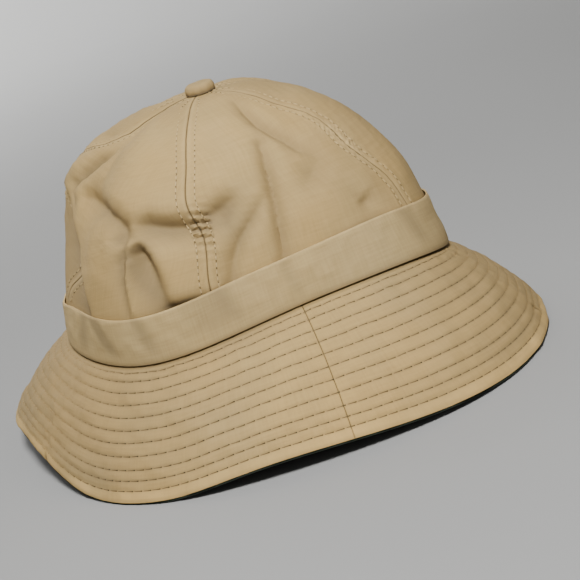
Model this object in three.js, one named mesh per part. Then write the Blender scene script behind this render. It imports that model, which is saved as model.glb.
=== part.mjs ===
// Safari bucket hat: six crown panels, covered top button, hat band, two-part brim and a dark under-brim ply.
// Millimetres, +Z up, the front of the hat faces -Y, and the rim rests on z = 0.
import * as THREE from 'three';
import { mergeVertices } from 'three/addons/utils/BufferGeometryUtils.js';

// Cloth thicknesses and the clearance kept between touching pieces
const crownWall = 1.2;
const bandWall = 1.3;
const plyWall = 1.0;
const clearance = 0.3;

// Crown
const crownTop = 151;
const panelSeams = [5, 62, 118, 180, 248, 308];
const panelTopRise = 0.98;
const panelPuff = 1.0;
const panelAcross = 13;
const panelAlong = 15;
const crownArc = 150;

// Hat band
const bandHeight = 24;
const bandAround = 78;

// Brim
const brimSeamAngles = [204, 345];
const brimTuck = 3.0;
const brimBend = 3.0;
const brimBow = 2.4;
const brimRows = 8;
const brimStep = 5;
const rimEdgeFront = 2.2;
const rimEdgeBack = 1.4;
const underRows = 5;
const underAround = 76;

// Covered top button
const buttonRadius = 7.4;
const buttonHeight = 6.2;
const buttonAround = 24;

// Centre of the finished outline, so that the hat stands over the origin
const outlineCentreX = 3.9;
const outlineCentreY = 6.66;

// The hat measured round its axis: angle in degrees from +X, crownRadius at the foot of the band,
// seamHeight of the band and brim seam, brimReach beyond the band, rimLift of the rim off the ground,
// wallLean as the share the wall leans in by the top, shoulder as the squareness of the crown's shoulder.
const sections = [
  { angle: 0, crownRadius: 91, seamHeight: 48, brimReach: 49, rimLift: 2, wallLean: 0.05, shoulder: 2.25 },
  { angle: 30, crownRadius: 94, seamHeight: 48, brimReach: 49, rimLift: -1, wallLean: 0.07, shoulder: 2.35 },
  { angle: 60, crownRadius: 101, seamHeight: 49, brimReach: 49.5, rimLift: 2, wallLean: 0, shoulder: 2.4 },
  { angle: 90, crownRadius: 104, seamHeight: 50, brimReach: 48, rimLift: 10, wallLean: 0.12, shoulder: 3 },
  { angle: 120, crownRadius: 103, seamHeight: 52, brimReach: 37, rimLift: 16.5, wallLean: 0.13, shoulder: 1.95 },
  { angle: 150, crownRadius: 96.5, seamHeight: 49, brimReach: 42.5, rimLift: -1, wallLean: -0.02, shoulder: 2.45 },
  { angle: 180, crownRadius: 85.5, seamHeight: 53.5, brimReach: 46.5, rimLift: 7, wallLean: 0, shoulder: 2.3 },
  { angle: 210, crownRadius: 85, seamHeight: 58, brimReach: 47.5, rimLift: 6, wallLean: -0.03, shoulder: 2.25 },
  { angle: 240, crownRadius: 98, seamHeight: 56.5, brimReach: 46, rimLift: 1, wallLean: 0.11, shoulder: 2.1 },
  { angle: 270, crownRadius: 98, seamHeight: 44.5, brimReach: 39.5, rimLift: 0, wallLean: -0.03, shoulder: 2.05 },
  { angle: 300, crownRadius: 89, seamHeight: 40.5, brimReach: 34.5, rimLift: -1, wallLean: 0, shoulder: 2.25 },
  { angle: 330, crownRadius: 93, seamHeight: 45, brimReach: 41, rimLift: 0.5, wallLean: 0.03, shoulder: 2.35 },
];

// Folds pressed into the crown: from and to as angle in degrees and share of the way up, depth and width in mm.
const folds = [
  { fromAngle: 111.5, fromRise: 0.61, toAngle: 104, toRise: 0.48, depth: 3.0, width: 7 },
  { fromAngle: 88, fromRise: 0.46, toAngle: 104, toRise: 0.465, depth: -2.5, width: 9 },
  { fromAngle: 110, fromRise: 0.47, toAngle: 150, toRise: 0.46, depth: 3.2, width: 8 },
  { fromAngle: 150, fromRise: 0.46, toAngle: 156.5, toRise: 0.37, depth: 3.0, width: 7 },
  { fromAngle: 162.5, fromRise: 0.4, toAngle: 176, toRise: 0.34, depth: 3.2, width: 7 },
  { fromAngle: 178.5, fromRise: 0.37, toAngle: 195, toRise: 0.39, depth: 2.8, width: 7 },
  { fromAngle: 157, fromRise: 0.33, toAngle: 163.5, toRise: 0.245, depth: 3.5, width: 7 },
  { fromAngle: 163.5, fromRise: 0.245, toAngle: 165.5, toRise: 0.135, depth: 4.0, width: 7 },
  { fromAngle: 119.5, fromRise: 0.35, toAngle: 136.5, toRise: 0.15, depth: 2.5, width: 7 },
  { fromAngle: 184, fromRise: 0.14, toAngle: 203, toRise: 0.34, depth: 2.6, width: 9 },
  { fromAngle: 222.5, fromRise: 0.77, toAngle: 218.5, toRise: 0.62, depth: 2.0, width: 7 },
  { fromAngle: 218.5, fromRise: 0.62, toAngle: 232.5, toRise: 0.41, depth: 2.0, width: 7 },
  { fromAngle: 20, fromRise: 0.45, toAngle: 52, toRise: 0.36, depth: 2.6, width: 9 },
  { fromAngle: 330, fromRise: 0.2, toAngle: 346, toRise: 0.42, depth: 2.4, width: 9 },
];

const khaki = { color: 0xb9a27b, roughness: 0.9, metalness: 0 };
const khakiBrim = { color: 0xbda477, roughness: 0.9, metalness: 0 };
const darkGreen = { color: 0x1d241b, roughness: 0.85, metalness: 0 };

const radians = THREE.MathUtils.degToRad;

// One column of the section table at any angle, as a smooth closed curve
function around(column, angle) {
  const count = sections.length;
  const place = (THREE.MathUtils.euclideanModulo(angle, 360) / 360) * count;
  const first = Math.floor(place);
  const t = place - first;
  const [a, b, c, d] = [-1, 0, 1, 2].map((k) => sections[(first + k + count) % count][column]);
  return b + 0.5 * t * (c - a + t * (2 * a - 5 * b + 4 * c - d + t * (3 * (b - c) + d - a)));
}

function polar(angle, radius, height) {
  const turn = radians(angle);
  return new THREE.Vector3(radius * Math.cos(turn), radius * Math.sin(turn), height);
}

// The smooth crown: rise runs from 0 at the brim seam to 1 at the top
function crownBase(angle, rise) {
  const lift = (rise * Math.PI) / 2;
  const power = 2 / around('shoulder', angle);
  const share = Math.sin(lift) ** power;
  const foot = around('crownRadius', angle) - bandWall - clearance;
  const radius = foot * (1 - around('wallLean', angle) * share) * Math.max(0, Math.cos(lift)) ** power;
  const seamHeight = around('seamHeight', angle);
  return polar(angle, radius, seamHeight + (crownTop - seamHeight) * share);
}

// The rise at which the crown is a given height above the brim seam
function riseAt(angle, height) {
  const share = height / (crownTop - around('seamHeight', angle));
  return (2 / Math.PI) * Math.asin(share ** (around('shoulder', angle) / 2));
}

function normalOf(surface, angle, rise) {
  const low = Math.max(0.004, rise - 0.01);
  const high = Math.min(0.995, rise + 0.01);
  const sideways = surface(angle + 0.5, rise).sub(surface(angle - 0.5, rise));
  const upward = surface(angle, high).sub(surface(angle, low));
  return sideways.cross(upward).normalize();
}

// How far the cloth stands in from the smooth crown at one place
function foldDepth(angle, rise) {
  const local = 95 * Math.cos((rise * Math.PI) / 2);
  let depth = 0;
  for (const fold of folds) {
    const from = new THREE.Vector2(radians(fold.fromAngle) * local, fold.fromRise * crownArc);
    const to = new THREE.Vector2(radians(fold.toAngle) * local, fold.toRise * crownArc);
    const here = new THREE.Vector2(radians(angle) * local, rise * crownArc);
    const run = to.clone().sub(from);
    const share = THREE.MathUtils.clamp(here.clone().sub(from).dot(run) / run.lengthSq(), 0, 1);
    const away = here.distanceTo(from.addScaledVector(run, share)) / fold.width;
    depth += fold.depth * Math.exp(-away * away);
  }
  return depth * THREE.MathUtils.smoothstep(rise, 0.05, 0.14);
}

// The crown's cloth: folds and the slight puff of each panel, then an offset out of the surface
function crownPoint(angle, rise, acrossShare, offset) {
  const free = THREE.MathUtils.smoothstep(rise, 0.16, 0.3) * (1 - THREE.MathUtils.smoothstep(rise, 0.8, 0.97));
  const puff = panelPuff * Math.sin(Math.PI * acrossShare) * free;
  const push = puff - foldDepth(angle, rise) + offset;
  return crownBase(angle, rise).addScaledVector(normalOf(crownBase, angle, rise), push);
}

// A closed wall from two matching grids of points, side 0 facing out and side 1 facing in
function wallGeometry(across, along, wraps, pointAt) {
  const columns = wraps ? across : across + 1;
  const rows = along + 1;
  const positions = [];
  for (let side = 0; side < 2; side += 1) {
    for (let i = 0; i < columns; i += 1) {
      for (let j = 0; j < rows; j += 1) {
        positions.push(...pointAt(i, j, side).toArray());
      }
    }
  }
  const at = (i, j, side) => side * columns * rows + (i % columns) * rows + j;
  const triangles = [];
  const quad = (a, b, c, d) => triangles.push(a, b, c, a, c, d);
  for (let i = 0; i < across; i += 1) {
    for (let j = 0; j < along; j += 1) {
      quad(at(i, j, 0), at(i + 1, j, 0), at(i + 1, j + 1, 0), at(i, j + 1, 0));
      quad(at(i, j, 1), at(i, j + 1, 1), at(i + 1, j + 1, 1), at(i + 1, j, 1));
    }
    quad(at(i, 0, 1), at(i + 1, 0, 1), at(i + 1, 0, 0), at(i, 0, 0));
    quad(at(i, along, 0), at(i + 1, along, 0), at(i + 1, along, 1), at(i, along, 1));
  }
  if (!wraps) {
    for (let j = 0; j < along; j += 1) {
      quad(at(0, j, 0), at(0, j + 1, 0), at(0, j + 1, 1), at(0, j, 1));
      quad(at(across, j, 1), at(across, j + 1, 1), at(across, j + 1, 0), at(across, j, 0));
    }
  }
  const geometry = new THREE.BufferGeometry();
  geometry.setAttribute('position', new THREE.Float32BufferAttribute(positions, 3));
  geometry.setIndex(triangles);
  return geometry;
}

function panelGeometry(index) {
  const start = panelSeams[index];
  const end = index + 1 < panelSeams.length ? panelSeams[index + 1] : panelSeams[0] + 360;
  return wallGeometry(panelAcross, panelAlong, false, (i, j, side) => {
    const rise = (panelTopRise * j) / panelAlong;
    const middle = crownBase((start + end) / 2, rise);
    const inset = THREE.MathUtils.radToDeg((0.6 * clearance) / Math.hypot(middle.x, middle.y));
    const share = i / panelAcross;
    const angle = start + inset + (end - start - 2 * inset) * share;
    return crownPoint(angle, rise, share, side === 0 ? 0 : -crownWall);
  });
}

function bandGeometry() {
  return wallGeometry(bandAround, 3, true, (i, j, side) => {
    const angle = (360 * i) / bandAround;
    const rise = riseAt(angle, clearance + (bandHeight - clearance) * (j / 3));
    const offset = side === 0 ? clearance + bandWall : clearance;
    return crownBase(angle, rise).addScaledVector(normalOf(crownBase, angle, rise), offset);
  });
}

// How far the rim's upper edge stands over the under ply: more at the front, where the dark ply shows
function rimEdge(angle) {
  const [start, end] = brimSeamAngles;
  const turn = THREE.MathUtils.euclideanModulo(angle, 360);
  const opening = THREE.MathUtils.smoothstep(turn, start - 4, start + 8);
  const closing = THREE.MathUtils.smoothstep(turn, end - 8, end + 4);
  return THREE.MathUtils.lerp(rimEdgeBack, rimEdgeFront, opening - closing);
}

// The brim's upper face: out runs from 0 under the crown wall to 1 at the rim
function brimBase(angle, out) {
  const reach = around('brimReach', angle);
  const bend = (x) => 0.5 * (x + Math.sqrt(x * x + brimBend * brimBend));
  const past = (reach + brimTuck) * out - brimTuck;
  const drop = (bend(past) - bend(-brimTuck)) / (bend(reach) - bend(-brimTuck));
  const inner = around('seamHeight', angle) - clearance;
  const rim = Math.max(0, around('rimLift', angle)) + rimEdge(angle);
  const bow = 4 * brimBow * drop * (1 - drop);
  return polar(angle, around('crownRadius', angle) + past + bow, inner + (rim - inner) * drop + bow);
}

function brimNormal(angle, out) {
  return normalOf((turn, inward) => brimBase(turn, 1 - inward), angle, 1 - out);
}

function brimGeometry(start, end) {
  const count = Math.round((end - start) / brimStep);
  return wallGeometry(count, brimRows, false, (i, j, side) => {
    const out = 1 - j / brimRows;
    const here = brimBase((start + end) / 2, out);
    const inset = THREE.MathUtils.radToDeg((0.6 * clearance) / Math.hypot(here.x, here.y));
    const angle = start + inset + ((end - start - 2 * inset) * i) / count;
    return brimBase(angle, out).addScaledVector(brimNormal(angle, out), side === 0 ? 0 : -plyWall);
  });
}

function undersideGeometry() {
  return wallGeometry(underAround, underRows, true, (i, j, side) => {
    const angle = (360 * i) / underAround;
    const out = 1 - j / underRows;
    const normal = brimNormal(angle, out);
    const depth = plyWall + clearance + (side === 0 ? 0 : plyWall);
    const point = brimBase(angle, out).addScaledVector(normal, -depth);
    if (j === 0) {
      const ground = Math.max(0, around('rimLift', angle));
      const slope = brimBase(angle, 1).sub(brimBase(angle, 0.96));
      point.addScaledVector(slope, (ground - point.z) / slope.z);
    }
    return point;
  });
}

function buttonGeometry() {
  const half = Math.PI / 2;
  const profile = [new THREE.Vector2(0, 0), new THREE.Vector2(buttonRadius - 0.8, 0), new THREE.Vector2(buttonRadius, 1)];
  for (let k = 1; k <= 5; k += 1) {
    const turn = (half * k) / 5;
    const radius = k === 5 ? 0 : buttonRadius * Math.cos(turn) ** 0.6;
    profile.push(new THREE.Vector2(radius, 1 + (buttonHeight - 1) * Math.sin(turn) ** 0.8));
  }
  const lathe = new THREE.LatheGeometry(profile, buttonAround);
  lathe.rotateX(half);
  lathe.translate(0, 0, crownTop + clearance);
  lathe.deleteAttribute('normal');
  lathe.deleteAttribute('uv');
  const welded = mergeVertices(lathe, 1e-4);
  const corners = welded.getIndex().array;
  const kept = [];
  for (let k = 0; k < corners.length; k += 3) {
    const [a, b, c] = corners.slice(k, k + 3);
    if (a !== b && b !== c && c !== a) {
      kept.push(a, b, c);
    }
  }
  welded.setIndex(kept);
  return welded;
}

const hat = new THREE.Group();
hat.name = 'safari_bucket_hat';

function addPiece(name, geometry, look) {
  geometry.translate(-outlineCentreX, -outlineCentreY, 0);
  geometry.computeVertexNormals();
  const mesh = new THREE.Mesh(geometry, new THREE.MeshStandardMaterial(look));
  mesh.name = name;
  hat.add(mesh);
}

panelSeams.forEach((seam, index) => addPiece(`crown_panel_${index + 1}`, panelGeometry(index), khaki));
addPiece('top_button', buttonGeometry(), khaki);
addPiece('hat_band', bandGeometry(), khaki);
addPiece('brim_front', brimGeometry(brimSeamAngles[0], brimSeamAngles[1]), khakiBrim);
addPiece('brim_back', brimGeometry(brimSeamAngles[1], brimSeamAngles[0] + 360), khakiBrim);
addPiece('brim_underside', undersideGeometry(), darkGreen);

export default hat;
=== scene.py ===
import math

import bpy
import numpy as np
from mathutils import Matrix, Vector


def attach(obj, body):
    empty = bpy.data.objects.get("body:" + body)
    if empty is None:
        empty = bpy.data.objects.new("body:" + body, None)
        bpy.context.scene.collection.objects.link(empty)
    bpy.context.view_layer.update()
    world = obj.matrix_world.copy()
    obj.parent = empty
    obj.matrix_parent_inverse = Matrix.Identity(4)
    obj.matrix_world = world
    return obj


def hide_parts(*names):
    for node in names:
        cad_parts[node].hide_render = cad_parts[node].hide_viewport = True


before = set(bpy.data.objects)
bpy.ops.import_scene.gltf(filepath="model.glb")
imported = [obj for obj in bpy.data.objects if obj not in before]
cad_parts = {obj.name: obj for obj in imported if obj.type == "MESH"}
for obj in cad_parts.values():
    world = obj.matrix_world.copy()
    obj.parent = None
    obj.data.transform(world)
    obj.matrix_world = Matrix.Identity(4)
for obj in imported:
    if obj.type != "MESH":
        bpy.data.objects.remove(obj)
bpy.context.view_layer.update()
mm = 0.001  # the hat is worked out in millimetres and made in metres
print("frame loaded:", len(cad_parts), "nodes")

# camera, at the photo's angle to the hat
cameraView = {
    "place": (-644.4, -180.1, 271.8),  # mm
    "turn": (69.63, 17.02, -82.17),  # degrees about x, y, z
    "lens": 83.4,  # mm on a 36 mm sensor
}
cameraData = bpy.data.cameras.new("camera")
cameraData.lens = cameraView["lens"]
cameraData.sensor_width = 36
cameraData.clip_start = 0.01
camera = bpy.data.objects.new("camera", cameraData)
camera.location = [value * mm for value in cameraView["place"]]
camera.rotation_euler = [math.radians(value) for value in cameraView["turn"]]
bpy.context.collection.objects.link(camera)
bpy.context.scene.camera = camera

# the hat's own measures, shared by all its pieces
hat = {
    "crownTop": 151.0,
    "outlineCentre": (3.9, 6.66, 0.0),
    "brimSeams": (204, 345),
    "crownWall": 1.2,
    "bandWall": 1.3,
    "bandHeight": 24.0,
    "plyWall": 1.0,
    "clearance": 0.3,
    "crownArc": 150.0,
    "leastShadedSide": 200,  # degrees, the side that the painted side shade leaves lightest
}
sectionColumns = ("crownRadius", "seamHeight", "brimReach", "rimLift", "wallLean", "shoulder")
hatSections = np.array([  # one row each 30 degrees, counted from +X towards +Y
    (91.0, 48.0, 49.0, 2.0, 0.05, 2.25),
    (94.0, 48.0, 49.0, -1.0, 0.07, 2.35),
    (101.0, 49.0, 49.5, 2.0, 0.00, 2.40),
    (104.0, 50.0, 48.0, 10.0, 0.12, 3.00),
    (103.0, 52.0, 37.0, 16.5, 0.13, 1.95),
    (96.5, 49.0, 42.5, -1.0, -0.02, 2.45),
    (85.5, 53.5, 46.5, 7.0, 0.00, 2.30),
    (85.0, 58.0, 47.5, 6.0, -0.03, 2.25),
    (98.0, 56.5, 46.0, 1.0, 0.11, 2.10),
    (98.0, 44.5, 39.5, 0.0, -0.03, 2.05),
    (89.0, 40.5, 34.5, -1.0, 0.00, 2.25),
    (93.0, 45.0, 41.0, 0.5, 0.03, 2.35),
])
sectionCount = len(hatSections)
sectionGrid = 4 * np.eye(sectionCount)
sectionGrid += np.roll(np.eye(sectionCount), 1, axis=0) + np.roll(np.eye(sectionCount), -1, axis=0)
sectionTurns = np.roll(hatSections, -1, axis=0) - 2 * hatSections + np.roll(hatSections, 1, axis=0)
sectionBends = np.linalg.solve(sectionGrid, sectionTurns)  # how much the closed curves bend at each section


def around(column, angle):  # one column of the sections at any angle, as a smooth closed curve
    k = sectionColumns.index(column)
    place = np.mod(np.asarray(angle, float), 360) / 360 * sectionCount
    first = np.floor(place).astype(int) % sectionCount
    second = (first + 1) % sectionCount
    t = place - np.floor(place)
    u = 1 - t
    straight = hatSections[first, k] * u + hatSections[second, k] * t
    return straight + (u**3 - u) * sectionBends[first, k] + (t**3 - t) * sectionBends[second, k]


def smoothCurve(places, values, at):  # a smooth line through a few values
    places = np.asarray(places, float)
    values = np.asarray(values, float)
    slopes = np.gradient(values, places)
    k = np.clip(np.searchsorted(places, at, side="right") - 1, 0, len(places) - 2)
    gap = places[k + 1] - places[k]
    t = (at - places[k]) / gap
    rise = values[k + 1] - values[k]
    first = gap * slopes[k]
    last = gap * slopes[k + 1]
    return values[k] + t * (first + t * (3 * rise - 2 * first - last + t * (first + last - 2 * rise)))


def smoothstep(value, low, high):
    t = np.clip((value - low) / (high - low), 0, 1)
    return t * t * (3 - 2 * t)


def bump(value, width):
    return np.exp(-(value / width) ** 2)


def polar(angle, radius, height):
    turn = np.radians(angle)
    return np.stack([radius * np.cos(turn), radius * np.sin(turn), height], axis=-1)


def crownBase(angle, rise):  # the smooth crown, rise 0 at the brim seam and 1 at the top
    lift = np.clip(rise, 0, 0.9999) * np.pi / 2
    power = 2 / around("shoulder", angle)
    share = np.sin(lift) ** power
    foot = around("crownRadius", angle) - hat["bandWall"] - hat["clearance"]
    radius = foot * (1 - around("wallLean", angle) * share) * np.cos(lift) ** power
    seamHeight = around("seamHeight", angle)
    return polar(angle, radius, seamHeight + (hat["crownTop"] - seamHeight) * share)


def riseAt(angle, height):  # the rise where the crown is that height above the brim seam
    share = height / (hat["crownTop"] - around("seamHeight", angle))
    return 2 / np.pi * np.arcsin(share ** (around("shoulder", angle) / 2))


def normalOf(surface, angle, rise):
    low = np.maximum(0.004, rise - 0.006)
    high = np.minimum(0.995, rise + 0.006)
    sideways = surface(angle + 0.4, rise) - surface(angle - 0.4, rise)
    upward = surface(angle, high) - surface(angle, low)
    normal = np.cross(sideways, upward)
    return normal / np.maximum(np.linalg.norm(normal, axis=-1, keepdims=True), 1e-9)


def ripple(points, size, seed, stretch=(1, 1, 1)):  # soft random waves about size mm long, from -1 to 1
    draw = np.random.default_rng(seed)
    total = np.zeros(points.shape[:-1])
    for _ in range(14):
        direction = draw.normal(size=3) * np.array(stretch)
        direction *= 2 * np.pi / size / np.linalg.norm(draw.normal(size=3)) * 1.2
        total += np.sin(points @ direction + draw.uniform(0, 2 * np.pi))
    return total / 5


# meshes


def newPiece(name, points, faces, uv, marks, material):  # uv and marks are given for each point
    mesh = bpy.data.meshes.new(name)
    placed = (points - np.array(hat["outlineCentre"])) * mm
    mesh.from_pydata(placed.tolist(), [], faces.tolist())
    corners = np.empty(len(mesh.loops), dtype=np.int32)
    mesh.loops.foreach_get("vertex_index", corners)
    layer = mesh.uv_layers.new(name="cloth")
    layer.data.foreach_set("uv", (uv[corners] * mm).astype(np.float32).ravel())
    for markName, values in marks.items():
        attribute = mesh.attributes.new(markName, "FLOAT", "POINT")
        attribute.data.foreach_set("value", np.asarray(values, dtype=np.float32).ravel())
    mesh.materials.append(material)
    mesh.shade_smooth()
    mesh.set_sharp_from_angle(angle=math.radians(55))
    mesh.update()
    piece = bpy.data.objects.new(name, mesh)
    bpy.context.collection.objects.link(piece)
    return piece


def wallFaces(across, along, wraps):  # two grids of points joined into one closed wall
    columns = across if wraps else across + 1
    rows = along + 1

    def at(i, j, side):
        return side * columns * rows + (i % columns) * rows + j

    i, j = np.meshgrid(np.arange(across), np.arange(along), indexing="ij")
    i, j = i.ravel(), j.ravel()
    faces = [
        np.stack([at(i, j, 0), at(i + 1, j, 0), at(i + 1, j + 1, 0), at(i, j + 1, 0)], 1),
        np.stack([at(i, j, 1), at(i, j + 1, 1), at(i + 1, j + 1, 1), at(i + 1, j, 1)], 1),
    ]
    i = np.arange(across)
    faces.append(np.stack([at(i, 0, 1), at(i + 1, 0, 1), at(i + 1, 0, 0), at(i, 0, 0)], 1))
    faces.append(np.stack([at(i, along, 0), at(i + 1, along, 0), at(i + 1, along, 1), at(i, along, 1)], 1))
    if not wraps:
        j = np.arange(along)
        faces.append(np.stack([at(0, j, 0), at(0, j + 1, 0), at(0, j + 1, 1), at(0, j, 1)], 1))
        end = across
        faces.append(np.stack([at(end, j, 1), at(end, j + 1, 1), at(end, j + 1, 0), at(end, j, 0)], 1))
    return np.concatenate(faces)


def clothWall(name, outer, inner, wraps, uv, marks, material):
    columns, rows = outer.shape[:2]
    points = np.concatenate([outer.reshape(-1, 3), inner.reshape(-1, 3)])
    faces = wallFaces(columns if wraps else columns - 1, rows - 1, wraps)
    bothMarks = {key: np.concatenate([value.ravel(), value.ravel()]) for key, value in marks.items()}
    bothUv = np.concatenate([uv.reshape(-1, 2), uv.reshape(-1, 2)])
    return newPiece(name, points, faces, bothUv, bothMarks, material)


# materials


class Sock:  # a shader socket that takes part in Python maths
    def __init__(self, tree, socket):
        self.tree = tree
        self.socket = socket

    def node(self, kind, settings=None, inputs=None, out=0):
        made = self.tree.nodes.new(kind)
        for key, value in (settings or {}).items():
            if key == "stops":
                ramp = made.color_ramp
                while len(ramp.elements) < len(value):
                    ramp.elements.new(0.5)
                for element, (position, colour) in zip(ramp.elements, value):
                    element.position = position
                    element.color = colour
            else:
                setattr(made, key, value)
        for key, value in (inputs or {}).items():
            if isinstance(value, Sock):
                self.tree.links.new(value.socket, made.inputs[key])
            else:
                made.inputs[key].default_value = value
        return Sock(self.tree, made.outputs[out])

    def maths(self, operation, first, second=0.0):
        return self.node("ShaderNodeMath", {"operation": operation}, {0: first, 1: second})

    def __add__(self, other):
        return self.maths("ADD", self, other)

    def __radd__(self, other):
        return self.maths("ADD", other, self)

    def __sub__(self, other):
        return self.maths("SUBTRACT", self, other)

    def __rsub__(self, other):
        return self.maths("SUBTRACT", other, self)

    def __mul__(self, other):
        return self.maths("MULTIPLY", self, other)

    def __rmul__(self, other):
        return self.maths("MULTIPLY", other, self)

    def clamped(self):
        return self.node("ShaderNodeClamp", {}, {"Value": self})

    def mixed(self, factor, other):  # colour mix towards other
        return self.node(
            "ShaderNodeMix", {"data_type": "RGBA"}, {0: factor, 6: self, 7: other}, out=2
        )


def linear(red, green, blue):  # a screen colour, 0 to 255, as linear light
    values = [value / 255 for value in (red, green, blue)]
    return tuple(v / 12.92 if v <= 0.04045 else ((v + 0.055) / 1.055) ** 2.4 for v in values) + (1.0,)


def startMaterial(name, roughness, sheen):
    material = bpy.data.materials.new(name)
    material.use_nodes = True
    tree = material.node_tree
    shader = tree.nodes["Principled BSDF"]
    shader.inputs["Roughness"].default_value = roughness
    shader.inputs["Specular IOR Level"].default_value = 0.25
    shader.inputs["Sheen Weight"].default_value = sheen
    shader.inputs["Sheen Roughness"].default_value = 0.5
    shader.inputs["Sheen Tint"].default_value = linear(214, 190, 140)
    return material, tree, shader


def clothMaterial(name, look):
    material, tree, shader = startMaterial(name, look["roughness"], look["sheen"])
    sock = Sock(tree, None)
    cloth = sock.node("ShaderNodeUVMap", {"uv_map": "cloth"})
    place = sock.node("ShaderNodeTexCoord", out="Object")

    def noise(source, scale, detail, stretch=(1, 1, 1)):
        moved = sock.node("ShaderNodeMapping", {}, {"Vector": source, "Scale": stretch})
        return sock.node("ShaderNodeTexNoise", {}, {"Vector": moved, "Scale": scale, "Detail": detail})

    def mark(markName):
        return sock.node("ShaderNodeAttribute", {"attribute_name": markName}, out="Fac")

    threads = 2 * math.pi / (look["threadPitch"] * mm)
    split = tree.nodes.new("ShaderNodeSeparateXYZ")
    tree.links.new(cloth.socket, split.inputs[0])
    warp = Sock(tree, split.outputs[0]) * threads
    weft = Sock(tree, split.outputs[1]) * threads
    weave = sock.maths("SINE", warp) * sock.maths("SINE", weft)  # plain weave, over and under
    slubs = noise(cloth, 900, 2, (1, 0.06, 1)) + noise(cloth, 900, 2, (0.06, 1, 1)) - 1
    clouds = noise(place, 22, 3)
    fading = noise(place, 60, 4)
    flecks = noise(cloth, 2600, 1)

    colour = sock.node("ShaderNodeMix", {"data_type": "RGBA"}, {
        0: (clouds * 2.2 - 0.6).clamped(), 6: look["cloth"], 7: look["clothCool"]}, out=2)
    colour = colour.mixed((slubs * look["slub"] + 0.12).clamped(), look["clothDeep"])
    colour = colour.mixed((fading * 1.8 - 0.75).clamped() * 0.35, look["clothPale"])
    # painted shade: the fold mark darkens the colour in folds, seam ditches, stitch rows, on the hat's sides,
    # beside the band and at the button's foot
    colour = colour.mixed((mark("fold") * look["paintedShadeAmount"]).clamped(), look["paintedShadeTone"])
    # the edge mark pales the cloth: wear on the seams, the worn patch and the rim, a painted highlight on the
    # band's folded top edge, and a paler shoulder on the button
    wearAndHighlight = mark("edge") * (fading * 1.4 - 0.1) * look["edgeWearAndHighlight"]
    colour = colour.mixed(wearAndHighlight.clamped(), look["clothPale"])
    # the soil mark is partly real, dirt on the worn seam and dark seam lines, and partly painted shadow under
    # and behind the band, at the button's foot, in the brim's dents and along the open back seam
    colour = colour.mixed((mark("soil") * (flecks * 0.6 + 0.6)).clamped(), look["soil"])
    tree.links.new(colour.socket, shader.inputs["Base Color"])
    rough = (fading * 0.12 + flecks * 0.1 + (look["roughness"] - 0.1)).clamped()
    tree.links.new(rough.socket, shader.inputs["Roughness"])
    height = weave * look["weaveDepth"] + slubs * look["slubDepth"] + flecks * 0.02
    normal = sock.node("ShaderNodeBump", {}, {"Strength": 0.5, "Distance": 0.0004, "Height": height})
    tree.links.new(normal.socket, shader.inputs["Normal"])
    return material


def threadMaterial(name, look):
    material, tree, shader = startMaterial(name, look["roughness"], 0.2)
    sock = Sock(tree, None)
    cloth = sock.node("ShaderNodeUVMap", {"uv_map": "cloth"})
    split = tree.nodes.new("ShaderNodeSeparateXYZ")
    tree.links.new(cloth.socket, split.inputs[0])
    turns = Sock(tree, split.outputs[0]) * 6000 + Sock(tree, split.outputs[1]) * 9000
    twist = sock.maths("SINE", turns) * 0.5 + 0.5
    place = sock.node("ShaderNodeTexCoord", out="Object")
    uneven = sock.node("ShaderNodeTexNoise", {}, {"Vector": place, "Scale": 300.0, "Detail": 2.0})
    colour = sock.node("ShaderNodeMix", {"data_type": "RGBA"}, {
        0: (twist * 0.4 + uneven * 0.6).clamped(), 6: look["deep"], 7: look["thread"]}, out=2)
    # painted shadow in the needle holes at the stitch ends
    hole = sock.node("ShaderNodeAttribute", {"attribute_name": "hole"}, out="Fac")
    colour = colour.mixed(hole.clamped(), look["hole"])
    # the brim's rows are painted pale on its sides: painted light that takes out the thread's shade and dark
    # ends there
    worn = sock.node("ShaderNodeAttribute", {"attribute_name": "worn"}, out="Fac")
    colour = colour.mixed((worn * 0.85).clamped(), look["worn"])
    tree.links.new(colour.socket, shader.inputs["Base Color"])
    normal = sock.node("ShaderNodeBump", {}, {"Strength": 0.4, "Distance": 0.0001, "Height": twist})
    tree.links.new(normal.socket, shader.inputs["Normal"])
    return material


khakiLook = {
    "cloth": linear(188, 156, 98),
    "clothCool": linear(177, 151, 101),
    "clothDeep": linear(146, 119, 72),
    # the dark tone that painted shade mixes towards
    "paintedShadeTone": linear(112, 98, 74),
    "clothPale": linear(204, 175, 122),
    "soil": linear(72, 59, 38),
    "roughness": 0.82,
    "sheen": 0.04,
    "threadPitch": 0.6,  # mm from thread to thread
    "weaveDepth": 0.25,
    "slubDepth": 0.5,
    "slub": 0.5,
    "paintedShadeAmount": 0.6,
    "edgeWearAndHighlight": 0.8,
}
brimLook = dict(khakiLook, cloth=linear(190, 157, 97), clothPale=linear(208, 173, 110))
# the band's cloth is a lighter copy of the khaki: painted light, making up for the shade the band gets
bandPaintedLightLook = dict(khakiLook, cloth=linear(197, 169, 115), clothCool=linear(188, 164, 116))
underLook = dict(
    khakiLook,
    cloth=linear(30, 38, 28),
    clothCool=linear(26, 34, 27),
    clothDeep=linear(16, 20, 15),
    paintedShadeTone=linear(16, 20, 15),
    clothPale=linear(52, 60, 46),
    soil=linear(12, 14, 10),
    edgeWearAndHighlight=0.3,
)
brimThreadLook = {
    "thread": linear(128, 108, 74),
    "deep": linear(100, 83, 54),
    "hole": linear(44, 36, 22),
    "worn": linear(160, 131, 82),
    "roughness": 0.7,
}
crownThreadLook = dict(brimThreadLook, thread=linear(197, 172, 124), deep=linear(176, 150, 103))

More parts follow.
